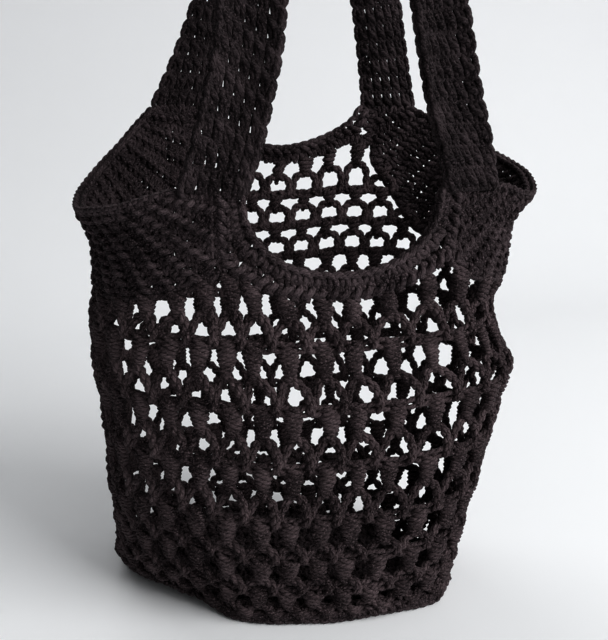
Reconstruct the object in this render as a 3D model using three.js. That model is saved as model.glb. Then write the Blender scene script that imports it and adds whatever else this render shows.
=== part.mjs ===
// A crocheted market bag standing full, its two handles pulled up.
// Millimetres. The front is -Y, the right is +X, up is +Z, and the base rests on z = 0.
// A share is a place round the bag: 0 is the middle of the front, 0.25 the right side,
// 0.5 the middle of the back, 0.75 the left side, by length along the wall.
import * as THREE from 'three';

// thicknesses and clearances
const NET_WALL = 8;
const CLOSE_WALL = 6;
const CLOSE_INSET = 0.8;
const CLEARANCE = 1;
const BASE_HEIGHT = 7;

// the open net: columns of gaps round the bag, rows of gaps up it
const NET_COLUMNS = 20;
const NET_ROWS = 6;
const PLACES = 2 * NET_COLUMNS;
const GAP_HALF_WIDTH = 0.62;
const GAP_LEVELS = { lowTip: 0.13, lowSide: 0.32, highSide: 0.7, highTip: 0.87 };

// where the neckline bands end and the side yokes begin, as shares measured from the
// middle of the front, and from the middle of the back for the back
const NECK_SHARE = 0.081;
const YOKE_SHARE = 0.1;

// the two necklines: a rounded U from the height of the seams down to the lowest point
const FRONT_NECK = { seam: 337, low: 280, exponent: 2.2 };
const BACK_NECK = { seam: 398, low: 363, exponent: 1.6 };

// how far the lip of a side yoke leans out where its rim's lean is 1
const LIP_FLARE = 16;

// the handles' ribs across their length
const RIB_PITCH = 11.5;
const RIB_HEIGHT = 0.8;
const HANDLE_COLUMNS = 4;

// the part of a curled strap's depth that lies behind its middle line
const CURL_BEHIND = 0.4;

const YARN = { color: 0x3a3336, roughness: 0.9, metalness: 0 };

/** Rows of numbers with named columns, read off at any value of the first column. */
class Table {
  constructor(columns, rows) {
    this.columns = columns;
    this.rows = rows;
  }

  /** The row span and the fraction of it at a value of the first column. */
  span(value) {
    const last = this.rows.length - 2;
    let index = 0;
    while (index < last && value > this.rows[index + 1][0]) {
      index += 1;
    }
    const from = this.rows[index][0];
    const to = this.rows[index + 1][0];
    const part = Math.min(1, Math.max(0, (value - from) / (to - from)));
    return { index, part };
  }

  /** The slope of one column between one row and the next. */
  rise(index, column) {
    const from = this.rows[index];
    const to = this.rows[index + 1];
    return (to[column] - from[column]) / (to[0] - from[0]);
  }

  /** The slope of one column at one row, level at a turning point so that it never overshoots. */
  slope(index, column) {
    const last = this.rows.length - 1;
    const before = this.rise(Math.max(0, index - 1), column);
    const after = this.rise(Math.min(last - 1, index), column);
    return before * after <= 0 ? 0 : (2 * before * after) / (before + after);
  }

  /** All columns by straight lines between the rows. */
  straight(value) {
    const { index, part } = this.span(value);
    const result = {};
    this.columns.forEach((name, column) => {
      const from = this.rows[index][column];
      result[name] = from + (this.rows[index + 1][column] - from) * part;
    });
    return result;
  }

  /** All columns by a smooth curve through the rows. */
  smooth(value) {
    const { index, part } = this.span(value);
    const width = this.rows[index + 1][0] - this.rows[index][0];
    const square = part * part;
    const cube = square * part;
    const result = {};
    this.columns.forEach((name, column) => {
      const from = this.rows[index][column];
      const to = this.rows[index + 1][column];
      const leave = this.slope(index, column) * width;
      const arrive = this.slope(index + 1, column) * width;
      result[name] =
        from * (2 * cube - 3 * square + 1) +
        leave * (cube - 2 * square + part) +
        to * (3 * square - 2 * cube) +
        arrive * (cube - square);
    });
    return result;
  }
}

// the filled bag as a stack of rounded oblong sections of its outer face
const SECTIONS = new Table(
  ['height', 'halfWidth', 'halfDepth', 'exponent', 'centreX', 'centreY', 'twist'],
  [
    [0, 145, 83, 2.1, -22, 0, -26],
    [10, 148, 84, 2.1, -22, 1, -25],
    [45, 149, 91, 2.4, -15, -1, -18],
    [100, 158, 98, 2.4, -8, 0, -12],
    [160, 168, 102, 2.4, 1, 0, -5],
    [190, 174, 103, 2.4, 4, 0, -3],
    [215, 169, 104, 2.4, -3, 0, -2],
    [240, 164, 103, 2.4, -7, 0, -1],
    [265, 167, 103, 2.4, 0, 0, 0],
    [290, 168, 103, 2.4, 2, 0, 0],
    [320, 169, 104, 2.4, 3, 0, 0],
    [400, 170, 104, 2.4, 6, 0, 0],
  ],
);

// how far the wall stands out of its sections at the corners of the foot and along the
// upright edge on the left of the front, and how much of that is left at a height
const CORNERS = new Table(
  ['share', 'foot', 'edge'],
  [
    [0, 4.5, 2.5],
    [0.02, 5, 1],
    [0.05, 2.5, 0],
    [0.08, 1.5, 0],
    [0.1, -1, 0],
    [0.13, -4, 0],
    [0.16, -2.5, 0],
    [0.185, 2.5, 0],
    [0.205, 7, 0],
    [0.225, 4, 0],
    [0.26, 0, 0],
    [0.79, 0, 0],
    [0.84, -3, 0],
    [0.885, -10, 0],
    [0.92, -10, 0.5],
    [0.945, -7, 3.5],
    [0.962, -2, 5],
    [0.98, 2, 4.5],
    [1, 4.5, 2.5],
  ],
);
const CORNER_FADE = new Table(
  ['height', 'foot', 'edge'],
  [
    [0, 1, 1],
    [12, 0.6, 1],
    [30, 0.3, 1],
    [60, 0.1, 1],
    [110, 0, 0.8],
    [160, 0, 0.4],
    [210, 0, 0],
    [420, 0, 0],
  ],
);

// the upper edge of the net from the middle of the front to the middle of the back
const NET_TOP = new Table(
  ['share', 'height'],
  [
    [0, 262],
    [0.05, 266],
    [0.075, 276],
    [0.1, 284],
    [0.125, 272],
    [0.175, 265],
    [0.25, 262],
    [0.3, 267],
    [0.35, 294],
    [0.375, 326],
    [0.4, 358],
    [0.425, 370],
    [0.45, 358],
    [0.5, 348],
  ],
);

// the lip of each side yoke: the height over which it leans out, and its rim from the front
// edge to the back edge, a spout that opens to the front on the right and a wide dip on the left
const RIM_COLUMNS = ['share', 'height', 'lean'];
const RIGHT_LIP = {
  reach: 26,
  rim: new Table(RIM_COLUMNS, [
    [0.1, 337, 0],
    [0.125, 337, 0],
    [0.15, 336, 0.25],
    [0.17, 330, 0.65],
    [0.19, 328, 0.92],
    [0.21, 334, 1],
    [0.23, 342, 1],
    [0.26, 352, 0.8],
    [0.3, 366, 0.45],
    [0.34, 386, 0.15],
    [0.375, 398, 0],
    [0.4, 398, 0],
  ]),
};
const LEFT_LIP = {
  reach: 34,
  rim: new Table(RIM_COLUMNS, [
    [0.1, 337, 0],
    [0.125, 337, 0],
    [0.15, 332, 0.3],
    [0.175, 325, 0.6],
    [0.225, 321, 0.7],
    [0.275, 331, 0.62],
    [0.325, 360, 0.3],
    [0.35, 382, 0.05],
    [0.375, 398, 0],
    [0.4, 398, 0],
  ]),
};

/** A handle's table: the rows of one half, and the row past its middle mirrored from them. */
function handleTable(rows) {
  const columns = ['step', 'height', 'centre', 'halfSpan', 'depth', 'lean', 'turn', 'width', 'curl'];
  const [step, height, centre, halfSpan, depth, lean, turn, width, curl] = rows[rows.length - 2];
  const past = [step + 2, height, centre, -halfSpan, depth, 180 - lean, turn, width, curl];
  return new Table(columns, [...rows, past]);
}

// half of each handle from a seam to the middle of the arch: the arch's centre line in x, the
// strap's distance from it, its distance from the middle of the bag, the lean of the arch,
// the turn of the strap's width towards the other handle, and the curl of its edges outwards
const FRONT_HANDLE = handleTable([
  [0, 337.6, 7, 94, 91, 0, 15, 48, 0],
  [1, 366, 8, 85, 92, 2, 11, 47, 4],
  [2, 396, 8, 76.5, 89, 4, 8, 46, 7],
  [3, 430, 9, 69, 85, 6, 7, 45, 8],
  [4, 464, 9, 64, 80, 10, 9, 45, 8],
  [5, 500, 9, 54, 75, 28, 30, 45, 6],
  [6, 529, 9, 33, 71, 58, 65, 45, 4],
  [7, 541, 9, 0, 70, 90, 90, 45, 3],
]);
const BACK_HANDLE = handleTable([
  [0, 398.6, 8, 97, 90, 0, 16, 50, 0],
  [1, 427, 14, 88, 93, 4, 12, 47, 4],
  [2, 459, 18, 78, 90, 6, 9, 45, 7],
  [3, 491, 20, 68.5, 84, 10, 9, 44, 8],
  [4, 528, 21, 56, 79, 27, 28, 44, 6],
  [5, 558, 22, 33, 75, 58, 65, 44, 4],
  [6, 570, 22, 0, 74, 90, 90, 44, 3],
]);

const RING_SAMPLES = 360;
const rings = new Map();

/** The outer outline of the bag at one height, with the length along it. */
function ringAt(height) {
  if (rings.has(height)) {
    return rings.get(height);
  }
  const row = SECTIONS.smooth(height);
  const twist = THREE.MathUtils.degToRad(row.twist);
  const power = 2 / row.exponent;
  const points = [];
  const lengths = [];
  for (let k = 0; k <= RING_SAMPLES; k += 1) {
    const angle = (k / RING_SAMPLES - 0.25) * 2 * Math.PI;
    const across = Math.cos(angle);
    const along = Math.sin(angle);
    const x = row.halfWidth * Math.sign(across) * Math.abs(across) ** power;
    const y = row.halfDepth * Math.sign(along) * Math.abs(along) ** power;
    const point = new THREE.Vector2(x, y).rotateAround(new THREE.Vector2(), twist);
    point.add(new THREE.Vector2(row.centreX, row.centreY));
    lengths.push(k === 0 ? 0 : lengths[k - 1] + point.distanceTo(points[k - 1]));
    points.push(point);
  }
  const ring = { points, lengths, total: lengths[RING_SAMPLES] };
  rings.set(height, ring);
  return ring;
}

/** The outward direction at one sample of a ring. */
function outwardAt(ring, index) {
  const before = ring.points[(index + RING_SAMPLES - 2) % RING_SAMPLES];
  const after = ring.points[(index + 2) % RING_SAMPLES];
  const along = after.clone().sub(before).normalize();
  return new THREE.Vector2(along.y, -along.x);
}

/** How far the wall stands out of its section at a share and a height. */
function cornerAt(share, height) {
  const corner = CORNERS.straight(share - Math.floor(share));
  const left = CORNER_FADE.straight(height);
  return corner.foot * left.foot + corner.edge * left.edge;
}

/** The point on the wall at a share and a height, moved out by a distance. */
function wall(share, height, out) {
  const ring = ringAt(height);
  const goal = (share - Math.floor(share)) * ring.total;
  let low = 0;
  let high = RING_SAMPLES;
  while (high - low > 1) {
    const middle = Math.floor((low + high) / 2);
    if (ring.lengths[middle] > goal) {
      high = middle;
    } else {
      low = middle;
    }
  }
  const part = (goal - ring.lengths[low]) / (ring.lengths[high] - ring.lengths[low]);
  const point = ring.points[low].clone().lerp(ring.points[high], part);
  const outward = outwardAt(ring, low).lerp(outwardAt(ring, high), part).normalize();
  point.addScaledVector(outward, out + cornerAt(share, height));
  return new THREE.Vector3(point.x, point.y, height);
}

/** The share measured from the middle of the front by the shorter way round. */
function shareFromFront(share) {
  const turned = share - Math.floor(share);
  return Math.min(turned, 1 - turned);
}

/** The height of the net's upper edge at a share. */
function netTop(share) {
  return NET_TOP.straight(shareFromFront(share)).height;
}

/** A mesh from points and triangles. */
function piece(name, points, triangles) {
  const geometry = new THREE.BufferGeometry();
  const positions = points.flatMap((point) => [point.x, point.y, point.z]);
  geometry.setAttribute('position', new THREE.Float32BufferAttribute(positions, 3));
  geometry.setIndex(triangles);
  geometry.computeVertexNormals();
  const mesh = new THREE.Mesh(geometry, new THREE.MeshStandardMaterial(YARN));
  mesh.name = name;
  return mesh;
}

/** Two triangles for four corners in order. */
function quad(triangles, a, b, c, d) {
  triangles.push(a, b, c, a, c, d);
}

/** A thick sheet from rows of points on its outer and inner faces, closed at its edges. */
function sheet(name, outer, inner) {
  const rows = outer.length;
  const columns = outer[0].length;
  const points = [...outer.flat(), ...inner.flat()];
  const under = rows * columns;
  const triangles = [];
  for (let r = 0; r + 1 < rows; r += 1) {
    for (let c = 0; c + 1 < columns; c += 1) {
      const a = r * columns + c;
      const d = a + columns;
      quad(triangles, a, a + 1, d + 1, d);
      quad(triangles, under + a, under + d, under + d + 1, under + a + 1);
    }
    const left = r * columns;
    const right = left + columns - 1;
    quad(triangles, left, left + columns, under + left + columns, under + left);
    quad(triangles, right, under + right, under + right + columns, right + columns);
  }
  for (let c = 0; c + 1 < columns; c += 1) {
    const top = (rows - 1) * columns + c;
    quad(triangles, under + c, under + c + 1, c + 1, c);
    quad(triangles, top, top + 1, under + top + 1, under + top);
  }
  return piece(name, points, triangles);
}

/** The flat base: a slab with a rounded lower edge, under the foot of the net. */
function base() {
  const levels = [
    { height: 0, out: -5 },
    { height: 2, out: -1.5 },
    { height: 4.5, out: 0 },
    { height: BASE_HEIGHT, out: 0 },
  ];
  const points = [];
  const triangles = [];
  levels.forEach(({ height, out }) => {
    for (let k = 0; k < PLACES; k += 1) {
      points.push(wall(k / PLACES, height, out));
    }
  });
  const middle = SECTIONS.smooth(0);
  const floor = points.push(new THREE.Vector3(middle.centreX, middle.centreY, 0)) - 1;
  const roof = points.push(new THREE.Vector3(middle.centreX, middle.centreY, BASE_HEIGHT)) - 1;
  const lastRing = (levels.length - 1) * PLACES;
  for (let k = 0; k < PLACES; k += 1) {
    const next = (k + 1) % PLACES;
    triangles.push(floor, next, k);
    triangles.push(roof, lastRing + k, lastRing + next);
    for (let level = 0; level < lastRing; level += PLACES) {
      quad(triangles, level + k, level + next, level + PLACES + next, level + PLACES + k);
    }
  }
  return piece('base', points, triangles);
}

/** The open net: staggered rows of six-sided gaps between the base and the close crochet. */
function net() {
  const points = [];
  const triangles = [];
  const known = new Map();
  const foot = BASE_HEIGHT + CLEARANCE;

  const place = (step, level, deep) => {
    const turned = (step + PLACES) % PLACES;
    const key = `${turned.toFixed(3)} ${level.toFixed(3)} ${deep}`;
    if (!known.has(key)) {
      const share = turned / PLACES;
      const height = foot + (level / NET_ROWS) * (netTop(share) - foot);
      known.set(key, points.push(wall(share, height, deep ? -NET_WALL : 0)) - 1);
    }
    return known.get(key);
  };

  for (let row = 0; row < NET_ROWS; row += 1) {
    for (let column = 0; column < NET_COLUMNS; column += 1) {
      const middle = 2 * column + (row % 2);
      const left = middle - GAP_HALF_WIDTH;
      const right = middle + GAP_HALF_WIDTH;
      const frame = [
        [middle - 1, row],
        [middle, row],
        [middle + 1, row],
        [middle + 1, row + 1],
        [middle, row + 1],
        [middle - 1, row + 1],
      ];
      const gap = [
        [left, row + GAP_LEVELS.lowSide],
        [middle, row + GAP_LEVELS.lowTip],
        [right, row + GAP_LEVELS.lowSide],
        [right, row + GAP_LEVELS.highSide],
        [middle, row + GAP_LEVELS.highTip],
        [left, row + GAP_LEVELS.highSide],
      ];
      const frameOut = frame.map(([step, level]) => place(step, level, false));
      const frameIn = frame.map(([step, level]) => place(step, level, true));
      const gapOut = gap.map(([step, level]) => place(step, level, false));
      const gapIn = gap.map(([step, level]) => place(step, level, true));
      for (let k = 0; k < 6; k += 1) {
        const next = (k + 1) % 6;
        quad(triangles, frameOut[k], frameOut[next], gapOut[next], gapOut[k]);
        quad(triangles, frameIn[k], gapIn[k], gapIn[next], frameIn[next]);
        quad(triangles, gapOut[k], gapOut[next], gapIn[next], gapIn[k]);
      }
      [0, 1].forEach((k) => {
        if (row === 0) {
          quad(triangles, frameOut[k], frameIn[k], frameIn[k + 1], frameOut[k + 1]);
        }
        if (row === NET_ROWS - 1) {
          quad(triangles, frameOut[k + 3], frameIn[k + 3], frameIn[k + 4], frameOut[k + 4]);
        }
      });
    }
  }
  return piece('net', points, triangles);
}

/** The height of a neckline's edge at a share from its middle. */
function neckEdge(neck, share) {
  const part = Math.min(1, Math.abs(share) / NECK_SHARE);
  return neck.seam - (neck.seam - neck.low) * (1 - part ** neck.exponent) ** (1 / neck.exponent);
}

/**
 * A neckline band: from the net's upper edge to the rounded opening, its ends under a handle.
 * It has stations down one upright end, across, and up the other, each facing a point of the
 * opening: endTurn is how much of the first quarter turn faces an end, and spacing evens them.
 */
function band(name, neck, middle) {
  const rows = 4;
  const ends = 5;
  const across = 8;
  const endTurn = 0.3;
  const spacing = 0.8;
  const edge = YOKE_SHARE - CLEARANCE / 2 / ringAt(neck.seam).total;
  const corner = netTop(middle + YOKE_SHARE) + CLEARANCE;
  const stations = [];
  for (let k = 0; k < ends; k += 1) {
    const part = k / ends;
    stations.push({ outer: [-edge, neck.seam + (corner - neck.seam) * part], angle: part * endTurn });
  }
  for (let k = 0; k <= across; k += 1) {
    const share = -YOKE_SHARE + (2 * YOKE_SHARE * k) / across;
    const held = Math.min(edge, Math.max(-edge, share));
    const angle = endTurn + ((2 - 2 * endTurn) * k) / across;
    stations.push({ outer: [held, netTop(middle + share) + CLEARANCE], angle });
  }
  for (let k = ends - 1; k >= 0; k -= 1) {
    const part = k / ends;
    stations.push({ outer: [edge, neck.seam + (corner - neck.seam) * part], angle: 2 - part * endTurn });
  }
  const grid = (out) => {
    const result = [];
    for (let r = 0; r < rows; r += 1) {
      const part = r / (rows - 1);
      result.push(
        stations.map(({ outer, angle }) => {
          const swing = (angle / 2) * Math.PI;
          const cosine = Math.cos(swing);
          const inner = -NECK_SHARE * Math.sign(cosine) * Math.abs(cosine) ** spacing;
          const share = outer[0] + (inner - outer[0]) * part;
          const height = outer[1] + (neckEdge(neck, inner) - outer[1]) * part;
          return wall(middle + share, height, out);
        }),
      );
    }
    return result;
  };
  return sheet(name, grid(-CLOSE_INSET), grid(-CLOSE_INSET - CLOSE_WALL));
}

/** A side yoke: close crochet above the net, its rim leaning out between the two handles. */
function yoke(name, lip, onLeft) {
  const rows = 9;
  const columns = 24;
  const trim = CLEARANCE / 2 / ringAt(FRONT_NECK.seam).total;
  const grid = (out) => {
    const result = [];
    for (let r = 0; r < rows; r += 1) {
      const line = [];
      for (let c = 0; c <= columns; c += 1) {
        const plain = YOKE_SHARE + ((0.5 - 2 * YOKE_SHARE) * (onLeft ? columns - c : c)) / columns;
        const share = Math.min(0.5 - YOKE_SHARE - trim, Math.max(YOKE_SHARE + trim, plain));
        const low = netTop(plain) + CLEARANCE;
        const rim = lip.rim.smooth(plain);
        const height = low + ((rim.height - low) * r) / (rows - 1);
        const rise = Math.max(0, 1 - (rim.height - height) / lip.reach);
        line.push(wall(onLeft ? 1 - share : share, height, out + LIP_FLARE * rim.lean * rise * rise));
      }
      result.push(line);
    }
    return result;
  };
  return sheet(name, grid(-CLOSE_INSET), grid(-CLOSE_INSET - CLOSE_WALL));
}

/** The middle, width direction and face direction of a handle at a signed step. */
function handleFrame(table, forward, step) {
  const last = table.rows.length - 2;
  const side = step < 0 ? -1 : 1;
  const row = table.smooth(last - Math.abs(step));
  const lean = THREE.MathUtils.degToRad(row.lean);
  const turn = THREE.MathUtils.degToRad(row.turn);
  const middle = new THREE.Vector3(row.centre + side * row.halfSpan, forward * row.depth, row.height);
  const outwards = new THREE.Vector3(side * Math.cos(lean), 0, Math.sin(lean));
  const width = outwards.multiplyScalar(Math.cos(turn));
  width.add(new THREE.Vector3(0, -forward * Math.sin(turn), 0));
  return { middle, width, row };
}

/** A handle: a ribbed strap from one seam over the arch to the other seam. */
function handle(name, table, forward) {
  const last = table.rows.length - 2;
  const fine = 400;
  const nudge = 0.02;
  const lengths = [0];
  const middles = [handleFrame(table, forward, -last).middle];
  for (let k = 1; k <= fine; k += 1) {
    middles.push(handleFrame(table, forward, -last + (2 * last * k) / fine).middle);
    lengths.push(lengths[k - 1] + middles[k].distanceTo(middles[k - 1]));
  }
  const ribs = Math.round(lengths[fine] / RIB_PITCH);
  const rows = 2 * ribs;
  const outer = [];
  const inner = [];
  for (let r = 0; r <= rows; r += 1) {
    const goal = (lengths[fine] * r) / rows;
    const index = lengths.findIndex((length) => length >= goal - 1e-9);
    const step = -last + (2 * last * index) / fine;
    const { middle, width, row } = handleFrame(table, forward, step);
    const ahead = handleFrame(table, forward, Math.min(last, step + nudge)).middle;
    const behind = handleFrame(table, forward, Math.max(-last, step - nudge)).middle;
    const along = ahead.sub(behind);
    const face = along.cross(width).normalize().multiplyScalar(-forward);
    if (r === 0 || r === rows) {
      face.setZ(0).normalize();
    }
    const rib = r % 2 === 1 ? RIB_HEIGHT : 0;
    const lineOut = [];
    const lineIn = [];
    for (let c = 0; c <= HANDLE_COLUMNS; c += 1) {
      const across = forward * ((2 * c) / HANDLE_COLUMNS - 1);
      const curl = row.curl * (across * across - CURL_BEHIND);
      const spot = middle.clone().addScaledVector(width, (across * row.width) / 2);
      lineOut.push(spot.clone().addScaledVector(face, curl + CLOSE_WALL / 2 + rib));
      lineIn.push(spot.clone().addScaledVector(face, curl - CLOSE_WALL / 2 - rib));
    }
    outer.push(lineOut);
    inner.push(lineIn);
  }
  return sheet(name, outer, inner);
}

const group = new THREE.Group();
group.name = 'market_bag';
group.add(base());
group.add(net());
group.add(band('front_band', FRONT_NECK, 0));
group.add(band('back_band', BACK_NECK, 0.5));
group.add(yoke('right_yoke', RIGHT_LIP, false));
group.add(yoke('left_yoke', LEFT_LIP, true));
group.add(handle('front_handle', FRONT_HANDLE, -1));
group.add(handle('back_handle', BACK_HANDLE, 1));

export default group;
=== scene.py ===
"""A crocheted market bag standing full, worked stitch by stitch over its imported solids.

Sizes in the tables are millimetres in the part's frame, and meshes are made in metres. A share is a
place round the bag: 0 is the middle of the front, 0.25 the right side, 0.5 the middle of the back.
"""

import logging
import math
from dataclasses import dataclass, field
from enum import Enum

import bpy
import numpy as np
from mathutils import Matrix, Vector


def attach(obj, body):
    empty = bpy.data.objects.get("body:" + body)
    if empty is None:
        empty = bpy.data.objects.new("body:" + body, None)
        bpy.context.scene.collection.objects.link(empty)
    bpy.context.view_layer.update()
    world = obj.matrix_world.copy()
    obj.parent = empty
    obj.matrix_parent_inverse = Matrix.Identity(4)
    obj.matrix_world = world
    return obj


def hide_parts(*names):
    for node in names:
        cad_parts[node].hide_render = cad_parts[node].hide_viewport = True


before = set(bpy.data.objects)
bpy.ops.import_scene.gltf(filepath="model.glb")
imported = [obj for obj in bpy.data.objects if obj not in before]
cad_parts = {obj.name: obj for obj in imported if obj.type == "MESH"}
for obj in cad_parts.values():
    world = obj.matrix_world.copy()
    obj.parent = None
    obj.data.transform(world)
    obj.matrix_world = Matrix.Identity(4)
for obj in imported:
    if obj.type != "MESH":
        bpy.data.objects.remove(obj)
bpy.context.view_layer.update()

LOG = logging.getLogger("market_bag")
MM = 0.001
BODY = "root"
YARN_MAP = "yarn"
FULL = 2 * np.pi
UP = np.array([0.0, 0.0, 1.0])
Array = np.ndarray
Hand = np.random.Generator
Triple = tuple[float, float, float]


def unit(vectors: Array) -> Array:
    """Vectors of length one along the last axis."""
    return vectors / np.maximum(np.linalg.norm(vectors, axis=-1, keepdims=True), 1e-9)


def run_of(points: Array) -> Array:
    """The length along lines of points up to each point.

    Args:
        points: points in order along the last axis but one

    Returns:
        lengths that begin at nought
    """
    gaps = np.linalg.norm(np.diff(points, axis=-2), axis=-1)
    return np.concatenate([np.zeros_like(gaps[..., :1]), np.cumsum(gaps, axis=-1)], -1)


def read_off(line: Array, length: Array, goal: Array) -> Array:
    """A line's columns at given lengths along it.

    Args:
        line: one row per point
        length: the length up to each point
        goal: the lengths to read it at

    Returns:
        one row per goal
    """
    return np.stack([np.interp(goal, length, column) for column in line.T], -1)


@dataclass(frozen=True)
class Table:
    """Rows of numbers with named columns, read off at any value of the first column.

    Attributes:
        columns: the names of the columns
        rows: one tuple of numbers per row, in rising order of the first column
    """

    columns: tuple[str, ...]
    rows: tuple[tuple[float, ...], ...]

    def pair(self, column: str) -> tuple[Array, Array]:
        """The first column and a named one."""
        grid = np.array(self.rows, float)
        return grid[:, 0], grid[:, self.columns.index(column)]

    def straight(self, column: str, value: Array) -> Array:
        """A column by straight lines between the rows."""
        return np.interp(value, *self.pair(column))

    def smooth(self, column: str, value: Array) -> Array:
        """A column by a smooth curve through the rows that never overshoots.

        Args:
            column: the name of the column
            value: where to read it, on the first column

        Returns:
            the column's values there
        """
        x, y = self.pair(column)
        rise = np.diff(y) / np.diff(x)
        before = np.concatenate([rise[:1], rise])
        after = np.concatenate([rise, rise[-1:]])
        both = before + after
        slope = np.where(before * after > 0, 2 * before * after / np.where(both == 0, 1, both), 0)
        at = np.clip(value, x[0], x[-1])
        k = np.clip(np.searchsorted(x, at, side="left") - 1, 0, len(x) - 2)
        width = x[k + 1] - x[k]
        part = (at - x[k]) / width
        return (
            y[k] * (2 * part**3 - 3 * part**2 + 1)
            + slope[k] * width * (part**3 - 2 * part**2 + part)
            + y[k + 1] * (3 * part**2 - 2 * part**3)
            + slope[k + 1] * width * (part**3 - part**2)
        )

    def sizes(self, value: Array) -> dict[str, Array]:
        """Every column after the first by smooth curves."""
        return {name: self.smooth(name, value) for name in self.columns[1:]}


SECTIONS = Table(
    ("height", "half_width", "half_depth", "exponent", "centre_x", "centre_y", "twist"),
    (
        (0, 145, 83, 2.1, -22, 0, -26), (10, 148, 84, 2.1, -22, 1, -25), (45, 149, 91, 2.4, -15, -1, -18),
        (100, 158, 98, 2.4, -8, 0, -12), (160, 168, 102, 2.4, 1, 0, -5), (190, 174, 103, 2.4, 4, 0, -3),
        (215, 169, 104, 2.4, -3, 0, -2), (240, 164, 103, 2.4, -7, 0, -1), (265, 167, 103, 2.4, 0, 0, 0),
        (290, 168, 103, 2.4, 2, 0, 0), (320, 169, 104, 2.4, 3, 0, 0), (400, 170, 104, 2.4, 6, 0, 0),
    ),
)
# how far the wall stands out of its sections at the foot's corners and at the edge on the left
CORNERS = Table(
    ("share", "foot", "edge"),
    (
        (0, 4.5, 2.5), (0.02, 5, 1), (0.05, 2.5, 0), (0.08, 1.5, 0), (0.1, -1, 0), (0.13, -4, 0),
        (0.16, -2.5, 0), (0.185, 2.5, 0), (0.205, 7, 0), (0.225, 4, 0), (0.26, 0, 0), (0.79, 0, 0),
        (0.84, -3, 0), (0.885, -10, 0), (0.92, -10, 0.5), (0.945, -7, 3.5), (0.962, -2, 5),
        (0.98, 2, 4.5), (1, 4.5, 2.5),
    ),
)
CORNER_FADE = Table(
    ("height", "foot", "edge"),
    (
        (0, 1, 1), (12, 0.6, 1), (30, 0.3, 1), (60, 0.1, 1), (110, 0, 0.8), (160, 0, 0.4), (210, 0, 0),
        (420, 0, 0),
    ),
)
NET_TOP = Table(
    ("share", "height"),
    (
        (0, 262), (0.05, 266), (0.075, 276), (0.1, 284), (0.125, 272), (0.175, 265), (0.25, 262),
        (0.3, 267), (0.35, 294), (0.375, 326), (0.4, 358), (0.425, 370), (0.45, 358), (0.5, 348),
    ),
)
RIM_COLUMNS = ("share", "height", "lean")
RIGHT_RIM = Table(
    RIM_COLUMNS,
    (
        (0.1, 337, 0), (0.125, 337, 0), (0.15, 336, 0.25), (0.17, 330, 0.65), (0.19, 328, 0.92),
        (0.21, 334, 1), (0.23, 342, 1), (0.26, 352, 0.8), (0.3, 366, 0.45), (0.34, 386, 0.15),
        (0.375, 398, 0), (0.4, 398, 0),
    ),
)
LEFT_RIM = Table(
    RIM_COLUMNS,
    (
        (0.1, 337, 0), (0.125, 337, 0), (0.15, 332, 0.3), (0.175, 325, 0.6), (0.225, 321, 0.7),
        (0.275, 331, 0.62), (0.325, 360, 0.3), (0.35, 382, 0.05), (0.375, 398, 0), (0.4, 398, 0),
    ),
)
POST_PROFILE = Table(
    ("part", "swell"), ((0, 0.36), (0.2, 0.54), (0.45, 0.82), (0.72, 1.04), (0.9, 0.96), (1, 0.58))
)
COURSE_COLUMNS = ("part", "aside", "down", "out")
LEG_COURSE = Table(
    COURSE_COLUMNS,
    (
        (0, 0.02, 0, -0.8), (0.2, 0.32, 0.12, 0), (0.4, 0.6, 0.32, 0.6), (0.6, 0.8, 0.56, 1),
        (0.8, 0.93, 0.82, 1.2), (0.9, 0.96, 0.97, 1.2), (1, 0.96, 1.12, 0.2),
    ),
)
RING_COURSE = Table(
    COURSE_COLUMNS,
    (
        (0, 0.04, 0, -0.4), (0.2, 0.42, 0.05, 0), (0.4, 0.7, 0.22, 0.2), (0.6, 0.82, 0.5, 0.3),
        (0.8, 0.8, 0.78, 0.3), (0.9, 0.75, 0.92, 0.2), (1, 0.66, 1.06, -0.6),
    ),
)
COLUMN_TURN = Table(
    ("height", "turn", "shift"),
    (
        (0, 0.018, 0.013), (10, 0.0175, 0.0114), (45, 0.0104, 0.0039), (100, 0.0063, 0.0012),
        (160, 0, -0.0024), (190, 0, -0.0047), (215, 0, 0.0035), (240, 0, 0.009), (265, 0, 0.0014),
        (400, 0, 0.0023),
    ),
)
COLUMN_PLACES = Table(
    ("column", "place"),
    (
        (-6, -5.75), (-5, -4.75), (-4, -3.78), (-3, -2.9), (-2, -2), (-1, -1), (0, 0), (1, 0.96),
        (2, 2.13), (3, 3.45), (4, 4.75), (5, 6), (29, 30.25),
    ),
)
NET_SHIFT = Table(
    ("share", "drift", "rise", "lift"),
    (
        (0, 0.0068, 0, 0), (0.15, 0.0068, 0, 0), (0.3, 0.001, 0, 0), (0.37, 0, 4, 0), (0.43, 0, 5, 0),
        (0.5, 0, 0, 0), (0.7, 0, 6, 0), (0.75, 0, 9, 3), (0.8, 0, 9, 8), (0.88, 0, 9, 10),
        (0.94, 0.0068, 3, 4), (0.97, 0.0068, 1, 0), (1, 0.0068, 0, 0),
    ),
)
HEM = Table(("share", "drop"), ((0.1, 0), (0.32, 0), (0.355, 6), (0.4, 7), (0.43, 0), (0.5, 0)))
HANDLE_COLUMNS = ("step", "height", "centre", "half_span", "depth", "lean", "turn", "width", "curl")
FRONT_HANDLE = Table(
    HANDLE_COLUMNS,
    (
        (0, 337.6, 7, 94, 91, 0, 15, 48, 0), (1, 366, 8, 85, 92, 2, 11, 47, 4),
        (2, 396, 8, 76.5, 89, 4, 8, 46, 7), (3, 430, 9, 69, 85, 6, 7, 45, 8),
        (4, 464, 9, 64, 80, 10, 9, 45, 8), (5, 500, 9, 54, 75, 28, 30, 45, 6),
        (6, 529, 9, 33, 71, 58, 65, 45, 4), (7, 541, 9, 0, 70, 90, 90, 45, 3),
        (8, 529, 9, -33, 71, 122, 65, 45, 4),
    ),
)
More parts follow.
